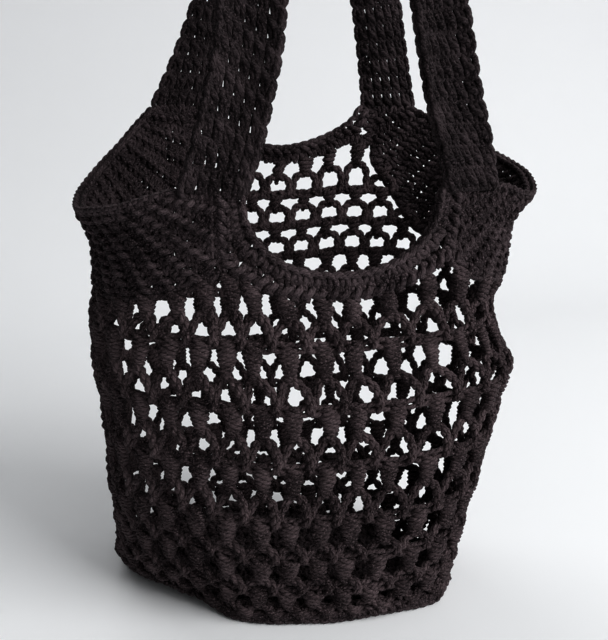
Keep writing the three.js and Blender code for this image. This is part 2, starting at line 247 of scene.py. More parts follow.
BACK_HANDLE = Table(
    HANDLE_COLUMNS,
    (
        (0, 398.6, 8, 97, 90, 0, 16, 50, 0), (1, 427, 14, 88, 93, 4, 12, 47, 4),
        (2, 459, 18, 78, 90, 6, 9, 45, 7), (3, 491, 20, 68.5, 84, 10, 9, 44, 8),
        (4, 528, 21, 56, 79, 27, 28, 44, 6), (5, 558, 22, 33, 75, 58, 65, 44, 4),
        (6, 570, 22, 0, 74, 90, 90, 44, 3), (7, 558, 22, -33, 75, 122, 65, 44, 4),
    ),
)
NECK_SHARE = 0.081
YOKE_SHARE = 0.1
STRAP_SHARE = 0.134
LIP_FLARE = 16.0
CLOSE_MIDDLE = -3.8
# how far a close-worked piece stays over the net's upper edge
NET_CLEAR = 1.0


class Neck(Enum):
    """The two necklines: share of the middle, height of the seams, lowest height, roundness."""

    FRONT = (0.0, 337.0, 280.0, 2.2)
    BACK = (0.5, 398.0, 363.0, 1.6)

    def edge(self, share: Array) -> Array:
        """The height of the opening's edge.

        Args:
            share: shares from the middle of the neckline

        Returns:
            heights
        """
        _, seam, low, power = self.value
        part = np.clip(np.abs(share) / NECK_SHARE, 0, 1)
        return seam - (seam - low) * (1 - part**power) ** (1 / power)


@dataclass(frozen=True)
class Lip:
    """The rim of a side yoke and how it leans out.

    Attributes:
        sign: the sign of the side's shares
        reach: the height over which it leans
        rim: the rim's course from the front edge to the back edge
    """

    sign: int
    reach: float
    rim: Table


class Side(Enum):
    """The two sides of the bag."""

    RIGHT = Lip(1, 26.0, RIGHT_RIM)
    LEFT = Lip(-1, 34.0, LEFT_RIM)


class Wall:
    """The outer face of the filled bag, read by share and height."""

    STEP = 2.0
    TALLEST = 420.0
    SHARES = 720
    BESIDE = 2
    TRACE = (np.arange(SHARES + 1) / SHARES - 0.25) * FULL

    def __init__(self) -> None:
        """Works out the outline and the outward directions at every step of height."""
        heights = np.arange(0, self.TALLEST + 1, self.STEP)
        sizes = SECTIONS.sizes(heights)
        levels = range(len(heights))
        self.spots = np.stack([self.ring({name: size[k] for name, size in sizes.items()}) for k in levels])
        around = self.spots[:, :-1]
        ahead = unit(np.roll(around, -self.BESIDE, axis=1) - np.roll(around, self.BESIDE, axis=1))
        normals = np.stack([ahead[..., 1], -ahead[..., 0]], -1)
        self.normals = np.concatenate([normals, normals[:, :1]], 1)

    def ring(self, row: dict[str, float]) -> Array:
        """One rounded oblong outline at equal steps of length.

        Args:
            row: the section's sizes

        Returns:
            points in plan
        """
        power = 2 / row["exponent"]
        c, s = np.cos(self.TRACE), np.sin(self.TRACE)
        x = row["half_width"] * np.sign(c) * np.abs(c) ** power
        y = row["half_depth"] * np.sign(s) * np.abs(s) ** power
        oval = np.stack([x, y], -1)
        length = run_of(oval)
        x, y = read_off(oval, length, np.linspace(0, length[-1], self.SHARES + 1)).T
        t = math.radians(row["twist"])
        turned_x = row["centre_x"] + x * math.cos(t) - y * math.sin(t)
        turned_y = row["centre_y"] + x * math.sin(t) + y * math.cos(t)
        return np.stack([turned_x, turned_y], -1)

    def blend(self, grid: Array, share: Array, height: Array) -> Array:
        """A grid's values by straight lines.

        Args:
            grid: values by step of height and step of share
            share: places round the bag
            height: heights above the table

        Returns:
            the values there
        """
        i = (share % 1.0) * self.SHARES
        k = np.clip(height / self.STEP, 0, len(grid) - 1.001)
        i0, k0 = np.floor(i).astype(int), np.floor(k).astype(int)
        aside, above = (i - i0)[..., None], (k - k0)[..., None]
        i1 = np.minimum(i0 + 1, self.SHARES)
        low = grid[k0, i0] * (1 - aside) + grid[k0, i1] * aside
        high = grid[k0 + 1, i0] * (1 - aside) + grid[k0 + 1, i1] * aside
        return low * (1 - above) + high * above

    def normal(self, share: Array, height: Array) -> Array:
        """The level outward direction.

        Args:
            share: places round the bag
            height: heights above the table

        Returns:
            unit vectors
        """
        share, height = np.broadcast_arrays(np.asarray(share, float), np.asarray(height, float))
        flat = unit(self.blend(self.normals, share, height))
        return np.concatenate([flat, np.zeros_like(flat[..., :1])], -1)

    def place(self, share: Array, height: Array, out: Array) -> Array:
        """Points at shares and heights, moved out by a distance.

        Args:
            share: places round the bag
            height: heights above the table
            out: distances outwards

        Returns:
            points in millimetres
        """
        share, height, out = np.broadcast_arrays(*(np.asarray(v, float) for v in (share, height, out)))
        spot = np.concatenate([self.blend(self.spots, share, height), height[..., None]], -1)
        out = out + self.corner(share, height)
        return spot + self.normal(share, height) * out[..., None]

    @staticmethod
    def corner(share: Array, height: Array) -> Array:
        """How far the wall stands out of its sections at the corners of the foot.

        Args:
            share: places round the bag
            height: heights above the table

        Returns:
            distances outwards
        """
        names = CORNERS.columns[1:]
        return sum(CORNERS.straight(n, share % 1.0) * CORNER_FADE.straight(n, height) for n in names)

    @staticmethod
    def net_top(share: Array) -> Array:
        """The height of the net's upper edge."""
        turned = np.asarray(share, float) % 1.0
        return NET_TOP.straight("height", np.minimum(turned, 1 - turned))


@dataclass
class YarnMesh:
    """A mesh of yarn tubes with a map along and round each strand.

    Attributes:
        name: the piece's name
        sides: faces round a strand
        points: the points of each batch of strands
        corners: the point at each corner of each face
        totals: the number of corners of each face
        maps: the place on the yarn map of each corner
        count: points so far
    """

    name: str
    sides: int = 5
    points: list[Array] = field(default_factory=list)
    corners: list[Array] = field(default_factory=list)
    totals: list[Array] = field(default_factory=list)
    maps: list[Array] = field(default_factory=list)
    count: int = 0

    MAP_UNIT = 10.0

    def add(self, paths: Array, ups: Array, radius: float) -> None:
        """Adds open strands with closed ends.

        Args:
            paths: strands by points by three, in millimetres
            ups: a direction across each strand at each point
            radius: the strands' radius
        """
        strands, steps, _ = paths.shape
        along = unit(np.gradient(paths, axis=1))
        side = unit(np.cross(along, ups))
        up = np.cross(side, along)
        j = np.arange(self.sides)
        turn = j / self.sides * FULL
        ring = np.cos(turn)[:, None] * up[:, :, None] + np.sin(turn)[:, None] * side[:, :, None]
        self.points.append((paths[:, :, None] + radius * ring).reshape(-1, 3))

        base = self.count + np.arange(strands * steps).reshape(strands, steps) * self.sides
        following = (j + 1) % self.sides
        low, high = base[:, :-1, None], base[:, 1:, None]
        quads = np.stack([low + j, low + following, high + following, high + j], -1)
        length = run_of(paths) / self.MAP_UNIT
        shape = quads.shape[:3]
        u0, u1 = (np.broadcast_to(u[..., None], shape) for u in (length[:, :-1], length[:, 1:]))
        v0 = np.broadcast_to(j / self.sides, shape)
        v1 = v0 + 1 / self.sides
        maps = np.stack([np.stack(p, -1) for p in ((u0, v0), (u0, v1), (u1, v1), (u1, v0))], -2)
        self.faces(quads, 4, maps)
        for cap, reach in ((base[:, :1] + j[::-1], length[:, :1]), (base[:, -1:] + j, length[:, -1:])):
            spread = np.broadcast_to(j / self.sides, cap.shape)
            self.faces(cap, self.sides, np.stack([np.broadcast_to(reach, cap.shape), spread], -1))
        self.count += strands * steps * self.sides

    def faces(self, corners: Array, total: int, maps: Array) -> None:
        """Notes faces that have the same number of corners.

        Args:
            corners: the faces' points
            total: corners of each face
            maps: the corners' places on the yarn map
        """
        self.corners.append(corners.reshape(-1))
        self.totals.append(np.full(corners.size // total, total))
        self.maps.append(maps.reshape(-1, 2))

    def arch(self, spot: Array, half: Array, out: Array, form: Triple, course: tuple[int, float]) -> None:
        """Lays arched strands whose ends go under the fabric.

        Args:
            spot: the middle of each strand
            half: from the middle to one end
            out: away from the fabric
            form: base, arch and radius
            course: points along a strand, and how far its ends sink, in arches
        """
        spot, half, out = (v.reshape(-1, 1, 3) for v in (spot, half, out))
        base, lift, radius = form
        steps, sink = course
        s = np.linspace(-1, 1, steps)[:, None]
        paths = spot + half * s + out * (base + lift * (1 - sink * s**2))
        self.add(paths, np.broadcast_to(out, paths.shape), radius)

    def build(self) -> bpy.types.Object:
        """Makes the mesh from all batches.

        Returns:
            the finished object, smooth and linked to the scene
        """
        points = np.concatenate(self.points) * MM
        corners = np.concatenate(self.corners)
        totals = np.concatenate(self.totals)
        mesh = bpy.data.meshes.new(self.name)
        mesh.vertices.add(len(points))
        mesh.vertices.foreach_set("co", points.astype(np.float32).ravel())
        mesh.loops.add(len(corners))
        mesh.loops.foreach_set("vertex_index", corners.astype(np.int32))
        mesh.polygons.add(len(totals))
        starts = np.concatenate([[0], np.cumsum(totals)[:-1]])
        mesh.polygons.foreach_set("loop_start", starts.astype(np.int32))
        mesh.polygons.foreach_set("use_smooth", np.ones(len(totals), bool))
        layer = mesh.uv_layers.new(name=YARN_MAP)
        layer.uv.foreach_set("vector", np.concatenate(self.maps).astype(np.float32).ravel())
        mesh.update(calc_edges=True)
        mesh.validate()
        made = bpy.data.objects.new(self.name, mesh)
        bpy.context.scene.collection.objects.link(made)
        return made


@dataclass(frozen=True)
class Stitch:
    """One V of a worked row: two legs that open, and tuck under the next V.

    Attributes:
        radius: the yarn's radius
        ahead: places of a leg's points along the row, in stitch lengths
        aside: places across the row, in spreads
        above: places over the fabric, in lifts
    """

    radius: float = 2.1
    ahead: tuple[float, ...] = (-0.42, -0.14, 0.16, 0.46, 0.76, 1.02, 1.22)
    aside: tuple[float, ...] = (0.10, 0.42, 0.80, 1.0, 0.95, 0.66, 0.34)
    above: tuple[float, ...] = (-0.75, 0.05, 0.62, 0.8, 0.55, 0.0, -0.7)

    def work(self, yarn: YarnMesh, knots: Array, normals: Array, spread: float, lift: float) -> None:
        """Works rows of stitches into a yarn mesh.

        Args:
            yarn: the mesh that takes the legs
            knots: rows by knots by three, a stitch between each two knots
            normals: the fabric's outward direction at each knot
            spread: half the width of a V
            lift: how far a V stands out of the fabric
        """
        start = knots[:, :-1]
        along = knots[:, 1:] - start
        out = unit(normals[:, :-1] + normals[:, 1:])
        across = unit(np.cross(out, along)) * spread
        ahead, aside, above = (np.array(v)[:, None] for v in (self.ahead, self.aside, self.above))
        start, along, out, across = (v.reshape(-1, 1, 3) for v in (start, along, out, across))
        for hand in (1, -1):
            legs = start + ahead * along + hand * aside * across + lift * above * out
            yarn.add(legs, np.broadcast_to(out, legs.shape), self.radius)


@dataclass(frozen=True)
class CloseStitch:
    """A stitch worked back and forth: a V on one face, and a bar that makes a rib on the other.

    Attributes:
        course: points along a loop, and how far its ends go under, in lifts
        leg_yarn: radius of the yarn in a leg
        leg: half of a V's leg along and across the row, in stitches
        leg_gap: a leg's distance from the middle of its stitch, in stitches
        leg_arch: height of a leg over the middle of the fabric, and how far it arches
        bar_yarn: radius of the yarn in a bar
        bar: half of a bar along and across the row, in stitches
        bar_arch: height of a bar over the middle of the fabric, and how far it arches
        wander: how unevenly the loops are drawn up
        swing: how much more a loop turns than that
        stray: how much more a loop moves than that
    """

    course: tuple[int, float] = (6, 1.9)
    leg_yarn: float = 1.95
    leg: tuple[float, float] = (0.16, 0.56)
    leg_gap: float = 0.225
    leg_arch: tuple[float, float] = (-0.6, 1.2)
    bar_yarn: float = 2.35
    bar: tuple[float, float] = (0.48, 0.3)
    bar_arch: tuple[float, float] = (1.5, 2.2)
    wander: float = 0.1
    swing: float = 1.5
    stray: float = 3.0

    def work(
        self, yarn: YarnMesh, knots: Array, normals: Array, pitch: Array, turned: bool, draw: Hand
    ) -> None:
        """Works a row into a yarn mesh.

        Args:
            yarn: the mesh that takes the loops
            knots: knots by three, a stitch between each two
            normals: the fabric's outward direction at each knot
            pitch: the distance between rows at each stitch
            turned: whether the row shows its bars on the outward face
            draw: the hand that draws each loop up a little differently
        """
        middle = (knots[1:] + knots[:-1]) / 2
        along = knots[1:] - knots[:-1]
        out = unit(normals[1:] + normals[:-1])
        across = unit(np.cross(out, along)) * np.asarray(pitch)[..., None]
        for face in (1, -1):
            if turned == (face > 0):
                half = self.bar[0] * along + self.bar[1] * across
                self.loops(yarn, middle, half, out * face, (*self.bar_arch, self.bar_yarn), draw)
                continue
            for hand in (1, -1):
                half = hand * self.leg[0] * along + self.leg[1] * across
                spot = middle + hand * self.leg_gap * along
                self.loops(yarn, spot, half, out * face, (*self.leg_arch, self.leg_yarn), draw)

    def loops(
        self, yarn: YarnMesh, spot: Array, half: Array, out: Array, form: Triple, draw: Hand
    ) -> None:
        """Lays arched loops of yarn, each drawn up a little differently.

        Args:
            yarn: the mesh that takes the loops
            spot: the middle of each loop
            half: from the middle to one end
            out: away from the fabric
            form: base, arch and radius
            draw: the hand
        """
        each = (len(spot), 1)
        size = np.linalg.norm(half, axis=-1, keepdims=True)
        swing = np.cross(out, half) * draw.normal(0, self.wander * self.swing, each)
        half = half * draw.normal(1, self.wander, each) + swing
        spot = spot + out * draw.normal(0, self.wander * self.stray, each)
        spot = spot + half / size * draw.normal(0, self.wander * self.stray, each)
        yarn.arch(spot, half, out, form, self.course)


@dataclass(frozen=True)
class TallStitch:
    """A tall stitch: strands that fan from a narrow foot to a chain, the same on both faces.

    Attributes:
        course: points along a strand, and how far the ends of arched strands sink
        foot: places of the strands at the foot, in stitches from the middle
        fan: how many times wider they stand at the head
        slant: how far the head leans aside, in stitches
        half: half of a strand's height, in rows
        strand: base, arch and radius of a strand
        wrap: half of the wrapped strand along and across the row, in stitches and rows
        wrap_at: height of the wrapped strand over the middle of the row, in rows
        wrapped: base, arch and radius of the wrapped strand
        link: half of a link of the chain at the head, in stitches
        head: base, arch and radius of that chain
        wander: unevenness
    """

    course: tuple[int, float] = (7, 1.6)
    foot: tuple[float, ...] = (-0.12, 0.12)
    fan: float = 2.2
    slant: float = 0.3
    half: float = 0.54
    strand: Triple = (-0.6, 2.2, 2.1)
    wrap: tuple[float, float] = (0.42, 0.17)
    wrap_at: float = 0.1
    wrapped: Triple = (1.0, 2.4, 2.3)
    link: float = 0.56
    head: Triple = (-0.4, 0.8, 1.9)
    wander: float = 0.13

    def work(self, yarn: YarnMesh, knots: Array, normals: Array, rise: Array, draw: Hand) -> None:
        """Works rows of stitches between knots.

        Args:
            yarn: the mesh that takes the strands
            knots: rows of points, one more than there are stitches
            normals: outward directions at the knots
            rise: from one row to the next at the knots
            draw: the hand
        """
        middle = ((knots[:, 1:] + knots[:, :-1]) / 2).reshape(-1, 1, 3)
        along = (knots[:, 1:] - knots[:, :-1]).reshape(-1, 1, 3)
        out = unit((normals[:, 1:] + normals[:, :-1]).reshape(-1, 1, 3))
        across = ((rise[:, 1:] + rise[:, :-1]) / 2).reshape(-1, 1, 3)
        each = (len(middle), 1, 1)
        s = np.linspace(-1, 1, self.course[0])[:, None]
        part = (s + 1) / 2
        base, lift, radius = self.strand
        for face in (1, -1):
            for foot in self.foot:
                width = foot * (1 + (self.fan - 1) * np.sqrt(part))
                lean = self.slant * s / 2 + draw.normal(0, self.wander / 2, each) * part
                arch = lift * draw.normal(1, self.wander * 2, each)
                paths = middle + along * (width + lean) + across * (self.half * s)
                paths = paths + out * face * (base + arch * (1 - s**2))
                yarn.add(paths, np.broadcast_to(out * face, paths.shape), radius)
            half = along * self.wrap[0] + across * self.wrap[1]
            half = half * draw.normal(1, self.wander, each)
            spot = middle + across * (self.wrap_at + draw.normal(0, self.wander / 3, each))
            yarn.arch(spot, half, out * face, self.wrapped, self.course)
            yarn.arch(middle + across / 2, along * self.link, out * face, self.head, self.course)


@dataclass(frozen=True)
class NodeKit:
    """Adds shader nodes to a tree with their values and links.

    Attributes:
        tree: the node tree
    """

    tree: bpy.types.NodeTree

    def feed(self, node: bpy.types.Node, inputs: dict[str | int, object]) -> None:
        """Sets or links a node's inputs.

        Args:
            node: the node
            inputs: a number, a colour or a socket for each input
        """
        for name, value in inputs.items():
            if isinstance(value, bpy.types.NodeSocket):
                self.tree.links.new(value, node.inputs[name])
            else:
                node.inputs[name].default_value = value

    def add(self, kind: str, inputs: dict[str | int, object], **settings: object) -> bpy.types.Node:
        """Adds one node.

        Args:
            kind: the node's type without its prefix
            inputs: what goes into it
            settings: its own settings, made before the inputs

        Returns:
            the node
        """
        node = self.tree.nodes.new(f"ShaderNode{kind}")
        for name, value in settings.items():
            setattr(node, name, value)
        self.feed(node, inputs)
        return node

    def reckon(self, operation: str, *inputs: object) -> bpy.types.NodeSocket:
        """A Math node's result for sockets or numbers."""
        return self.add("Math", dict(enumerate(inputs)), operation=operation).outputs[0]

    def mix(self, factor: bpy.types.NodeSocket, a: object, b: object) -> bpy.types.NodeSocket:
        """A colour between two colours."""
        return self.add("Mix", {"Factor": factor, "A": a, "B": b}, data_type="RGBA").outputs["Result"]

    def ramp(
        self, value: bpy.types.NodeSocket, given: tuple[float, float], to: tuple[float, float] = (0, 1)
    ) -> bpy.types.NodeSocket:
        """A value carried from one range to another and held at its ends.

        Args:
            value: the value
            given: the range it comes from
            to: the range it goes to

        Returns:
            the result
        """
        inputs = {"Value": value, "From Min": given[0], "From Max": given[1]}
        return self.add("MapRange", {**inputs, "To Min": to[0], "To Max": to[1]}).outputs["Result"]


@dataclass(frozen=True)
class YarnFinish:
    """Dark plied yarn: its colours, its twist and its nap.

    Attributes:
        name: the material's name
        painted_groove_shade: painted shade, the darker colour in the grooves between plies
        body: colour of the plies
        pale_fibre_glint: colour of pale fibres and of painted glint on lit fibres
        turns: turns of the plies per centimetre
        depth: depth of the plies in metres
        nap: weight of the soft sheen
        plies: plies of the yarn
        patch: scale and detail of the patches of pale fibre and painted glint
        glint_patch: where such a patch begins and where it is full
        fuzz: scale, detail and roughness of the loose fibres
        glint_fleck: where a fleck of pale fibre and painted glint begins and where it is full
        rough: roughness with the least and the most fibre
        fibre: height of the fibres against the plies
        fluff: strength of the loose fibres and their height in metres
        soft: roughness of the sheen
        gloss: specular level
    """

    name: str
    painted_groove_shade: Triple
    body: Triple
    pale_fibre_glint: Triple
    turns: float
    depth: float
    nap: float = 0.02
    plies: int = 3
    patch: tuple[float, float] = (55.0, 4.0)
    glint_patch: tuple[float, float] = (0.2, 0.42)
    fuzz: Triple = (760.0, 2.0, 0.6)
    glint_fleck: tuple[float, float] = (0.52, 0.68)
    rough: tuple[float, float] = (0.95, 0.74)
    fibre: float = 0.35
    fluff: tuple[float, float] = (0.9, 0.0009)
    soft: float = 0.55
    gloss: float = 0.05

    STRETCH = (3.0, 2.2, 2.0)
    GRAIN = (2.0, 3.0)

    @classmethod
    def plies_group(cls) -> bpy.types.NodeTree:
        """The twisted plies of a strand, as one node group.

        Returns:
            a group that gives a ply's height and the run of its fibres
        """
        known = bpy.data.node_groups.get("yarn_plies")
        if known:
            return known
        tree = bpy.data.node_groups.new("yarn_plies", "ShaderNodeTree")
        for way, names in (("INPUT", ("Plies", "Turns")), ("OUTPUT", ("Ply", "Fibre"))):
            for name in names:
                tree.interface.new_socket(name, in_out=way, socket_type="NodeSocketFloat")
        kit = NodeKit(tree)
        given = tree.nodes.new("NodeGroupInput").outputs
        result = tree.nodes.new("NodeGroupOutput")
        strand = kit.add("UVMap", {}, uv_map=YARN_MAP).outputs["UV"]
        parts = kit.add("SeparateXYZ", {0: strand}).outputs
        around = kit.reckon("MULTIPLY", parts["Y"], given["Plies"])
        run = kit.reckon("MULTIPLY", parts["X"], given["Turns"])
        phase = kit.reckon("ADD", around, kit.reckon("MULTIPLY", run, given["Plies"]))
        place = kit.reckon("SUBTRACT", kit.reckon("MULTIPLY", kit.reckon("FRACT", phase), 2.0), 1.0)
        crown = kit.reckon("SUBTRACT", 1.0, kit.reckon("MULTIPLY", place, place))
        crown = kit.reckon("SQRT", kit.reckon("MAXIMUM", crown, 0.0))
        runs = zip((phase, parts["X"], parts["Y"]), cls.STRETCH)
        drawn = {k: kit.reckon("MULTIPLY", value, by) for k, (value, by) in enumerate(runs)}
        across = kit.add("CombineXYZ", drawn).outputs[0]
        noise = kit.add("TexNoise", {"Vector": across, "Scale": cls.GRAIN[0], "Detail": cls.GRAIN[1]})
        kit.feed(result, {"Ply": crown, "Fibre": noise.outputs["Fac"]})
        return tree

    def material(self) -> bpy.types.Material:
        """The yarn's material.

        Returns:
            a node material with plies, painted shade in their grooves, and pale fibres with painted glint
        """
        made = bpy.data.materials.new(self.name)
        made.use_nodes = True
        kit = NodeKit(made.node_tree)
        twist = {"Plies": self.plies, "Turns": self.turns}
        yarn = kit.add("Group", twist, node_tree=self.plies_group()).outputs
        ply, fibre = yarn["Ply"], yarn["Fibre"]
        where = {"Vector": kit.add("TexCoord", {}).outputs["Object"]}
        scale, detail = self.patch
        patch = kit.add("TexNoise", {**where, "Scale": scale, "Detail": detail}).outputs["Fac"]
        # pale fibres with painted glint: random patches and the flecks of the fuzz take the light colour
        glint_patch = kit.ramp(kit.reckon("MULTIPLY", patch, fibre), self.glint_patch)
        scale, detail, rough = self.fuzz
        fuzz = kit.add("TexNoise", {**where, "Scale": scale, "Detail": detail, "Roughness": rough})
        fuzz = fuzz.outputs["Fac"]
        light = kit.reckon("MAXIMUM", glint_patch, kit.ramp(fuzz, self.glint_fleck))
        # painted shade: the grooves between plies take a darker colour than the crowns of the plies
        groove_shaded = kit.mix(ply, (*self.painted_groove_shade, 1), (*self.body, 1))
        high = kit.reckon("MULTIPLY_ADD", fibre, self.fibre, ply)
        bump = kit.add("Bump", {"Strength": 1.0, "Distance": self.depth, "Height": high}).outputs["Normal"]
        strength, distance = self.fluff
        fluff = {"Strength": strength, "Distance": distance, "Height": fuzz, "Normal": bump}
        surface = {
            "Base Color": kit.mix(light, groove_shaded, (*self.pale_fibre_glint, 1)),
            "Roughness": kit.ramp(fibre, (0, 1), self.rough),
            "Normal": kit.add("Bump", fluff).outputs["Normal"],
            "Sheen Weight": self.nap,
            "Sheen Roughness": self.soft,
            "Specular IOR Level": self.gloss,
        }
        kit.feed(made.node_tree.nodes["Principled BSDF"], surface)
        return made


NET_YARN = YarnFinish(
    name="net_yarn",
    painted_groove_shade=(0.0040, 0.0028, 0.0031),
    body=(0.0180, 0.0125, 0.0137),
    pale_fibre_glint=(0.1150, 0.0860, 0.0910),
    turns=0.75,
    depth=0.0012,
)
CLOSE_YARN = YarnFinish(
    name="close_yarn",
    painted_groove_shade=(0.0040, 0.0029, 0.0032),
    body=(0.0165, 0.0118, 0.0131),
    pale_fibre_glint=(0.1050, 0.0800, 0.0860),
    turns=0.8,
    depth=0.0009,
)
# painted shade: a darker copy of the close yarn, so that the straps look shaded
SHADED_STRAP_YARN = YarnFinish(
    name="shaded_strap_yarn",
    painted_groove_shade=(0.0028, 0.0020, 0.0022),
    body=(0.0100, 0.0072, 0.0080),
    pale_fibre_glint=(0.0680, 0.0520, 0.0560),
    turns=0.8,
    depth=0.0009,
)
BAND_STITCH = CloseStitch(leg_yarn=2.5, bar_yarn=2.7)


@dataclass
class Crochet:
    """What every worked piece shares: the wall, the stitches, the finish and the hand.

    Attributes:
        wall: the bag's face
        material: the yarn's material
        chain: the V of an edge or of a single round
        close: the stitch of the close rows
        seed: the start of the hand's unevenness
    """

    wall: Wall
    material: bpy.types.Material
    chain: Stitch = field(default_factory=Stitch)
    close: CloseStitch = field(default_factory=CloseStitch)
    seed: int = 1

    def hand(self) -> Hand:
        """The hand that works the piece, the same each time."""
        return np.random.default_rng(self.seed)

    def finish(self, yarn: YarnMesh, *nodes: str) -> bpy.types.Object:
        """Builds a yarn mesh, dresses it and fixes it to the bag.

        Args:
            yarn: the strands
            nodes: the solids that the piece stands for

        Returns:
            the piece
        """
        made = yarn.build()
        made.data.materials.append(self.material)
        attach(made, BODY)
        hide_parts(*nodes)
        triangles = int(sum(np.sum(t - 2) for t in yarn.totals))
        LOG.info("%s: %d triangles", made.name, triangles)
        return made


@dataclass(frozen=True)
class Weave:
    """How a part of the net is worked.

    Attributes:
        post_part: share of a round that the post takes
        post_wide: half width of a post's winding
        post_deep: half depth of a post's winding
        leg_yarn: radius of each of the two strands of a leg
        leg_twist: distance of those strands from the leg's middle
        course: the way of a leg from its post to the chain
    """

    post_part: float
    post_wide: float
    post_deep: float
    leg_yarn: float
    leg_twist: float
    course: Table


class Region(Enum):
    """The low rounds of knobs, the open rounds above, and the ringed rounds high at the back."""

    KNOBBED = Weave(0.68, 6.3, 4.6, 2.3, 1.7, LEG_COURSE)
    OPEN = Weave(0.51, 5.6, 3.4, 2.35, 1.9, LEG_COURSE)
    RINGED = Weave(0.47, 5.0, 3.2, 2.4, 1.6, RING_COURSE)


@dataclass
class Net(Crochet):
    """The open net: wound posts on twisted legs, with a chain between the rounds.

    Attributes:
        rounds: heights at which the rounds begin
        back_rounds: further rounds at the back, where the net reaches higher
        back: the shares between which they are worked
        knobbed: the height under which the posts are short knobs
        foot_knobs: heights of the knobs where the lowest legs meet
        shortest: the lowest round that is worked under the top edge
        tallest: the round above which only the posts grow longer
        settled: heights where the rounds' rise is full and where the foot's lift ends
        post_yarn: radius of the yarn wound into a post
        cap: how far a post's head stands over the chain above
        slant: how far a winding dips from left to right
        wind: height of one turn of a post
        swell: unevenness of a post's width, and of its turns
        stray: how far a post sways and stands aside, in shares
        uneven_dip: unevenness of the slant
        leg_turn: length of one turn of the twist in a leg
        leg_out: how far the legs that go right and left lie from the middle
        leg_stray: unevenness of a leg's way and height
        leg_flat: depth of a leg's twist against its width
        hook: how far a leg's head goes up into its post
        link: spread and lift of the chain's links
        link_wave: how far the chain bends, and the unevenness of its height
        link_out: where the chain lies from the middle, and its unevenness
        middle: the middle of the net's thickness from the outer face
    """

    rounds: tuple[float, ...] = (7, 31, 60, 93, 137, 182, 230)
    back_rounds: tuple[float, ...] = (262, 291, 320)
    back: tuple[float, float] = (0.3, 0.7)
    knobbed: float = 80.0
    foot_knobs: tuple[float, float] = (6.0, 13.4)
    shortest: float = 14.0
    tallest: float = 46.0
    settled: tuple[float, float] = (60.0, 70.0)
    post_yarn: float = 2.1
    cap: float = 1.6
    slant: float = 2.3
    wind: float = 3.4
    swell: tuple[float, float] = (0.07, 0.07)
    stray: tuple[float, float] = (0.0012, 0.0007)
    uneven_dip: float = 0.3
    leg_turn: float = 15.0
    leg_out: tuple[float, float] = (1.1, -1.3)
    leg_stray: tuple[float, float] = (0.04, 0.6)
    leg_flat: float = 0.85
    hook: float = 2.5
    link: tuple[float, float] = (2.8, 2.2)
    link_wave: tuple[float, float] = (0.9, 0.5)
    link_out: tuple[float, float] = (-0.6, 0.4)
    middle: float = -4.0

    FIRST = -6
    COLUMNS = 35
    PLACES = 36
    LEVEL = 167.0
    SEARCH = 8
    SEARCH_FROM = 250.0
    TOP_GAP = 0.5
    LEAST_TURNS = 3
    TURN_POINTS = 9
    LEG_POINTS = 14
    LINK_POINTS = 4
    WAVE = 0.41
    WAVE_START = 20

    def share(self, column: Array, height: Array) -> Array:
        """The share of a column's middle, going on past the first and last column.

        Args:
            column: the column's number, or a place between two
            height: heights above the table

        Returns:
            shares
        """
        turn, index = np.divmod(np.asarray(column) - self.FIRST, self.COLUMNS)
        place = COLUMN_PLACES.straight("place", index + self.FIRST) / self.PLACES
        drift = NET_SHIFT.straight("drift", place % 1.0) / self.PLACES
        height = np.asarray(height, float)
        shift = COLUMN_TURN.smooth("shift", height) * np.cos(FULL * place)
        return place + turn + drift * (self.LEVEL - height) + COLUMN_TURN.smooth("turn", height) + shift

    def between(self, column: Array, way: int, height: Array) -> Array:
        """The share halfway from a column to the next one on the side that way gives."""
        return (self.share(column, height) + self.share(column + way, height)) / 2

    def settle(self, share: Array, height: Array) -> Array:
        """Heights as the filled net has settled: rounds ride up on the left, and its foot lifts.

        Args:
            share: places round the bag
            height: heights in the even net

        Returns:
            heights in the settled net
        """
        full, end = self.settled
        rise = NET_SHIFT.straight("rise", share % 1.0) * np.clip(height / full, 0, 1)
        lift = NET_SHIFT.straight("lift", share % 1.0) * np.clip(1 - height / end, 0, 1) ** 2
        return height + rise + lift

    def cells(self) -> dict[Weave, Array]:
        """The posts of each region.

        Returns:
            one row per post: column, foot of the round, foot of the post, top of the post
        """
        made: dict[Weave, list[tuple[float, ...]]] = {region.value: [] for region in Region}
        for column in range(self.FIRST, self.FIRST + self.COLUMNS):
            top = self.SEARCH_FROM
            for _ in range(self.SEARCH):
                share = float(self.share(column, top)) % 1.0
                top = float(self.wall.net_top(share) - NET_SHIFT.straight("rise", share)) - self.TOP_GAP
            rounds = self.rounds + (self.back_rounds if self.back[0] < share < self.back[1] else ())
            feet = [z for z in rounds if z < top - self.shortest]
            for low, high in zip(feet, [*feet[1:], top]):
                region = Region.RINGED if low in self.back_rounds else Region.OPEN
                weave = (Region.KNOBBED if low < self.knobbed else region).value
                reach = min(high - low, self.tallest)
                made[weave].append((column, low, low + reach * (1 - weave.post_part), high))
        return {weave: np.array(rows) for weave, rows in made.items()}

    def posts(self) -> bpy.types.Object:
        """The posts, each a strand wound on itself from the legs to the chain above.

        Returns:
            the piece
        """
        yarn = YarnMesh("net_posts", sides=6)
        hand = self.hand()
        for weave, cells in self.cells().items():
            tall = cells[:, 3] + self.cap - cells[:, 2]
            turns = np.maximum(self.LEAST_TURNS, np.round(tall / self.wind)).astype(int)
            for wound in np.unique(turns):
                self.wound_posts(yarn, weave, cells[turns == wound], int(wound), hand)
        columns = range(self.FIRST, self.FIRST + self.COLUMNS)
        knobs = np.array([(column + 0.5, 0.0, *self.foot_knobs) for column in columns])
        self.wound_posts(yarn, Region.KNOBBED.value, knobs, self.LEAST_TURNS, hand)
        return self.finish(yarn, "net")

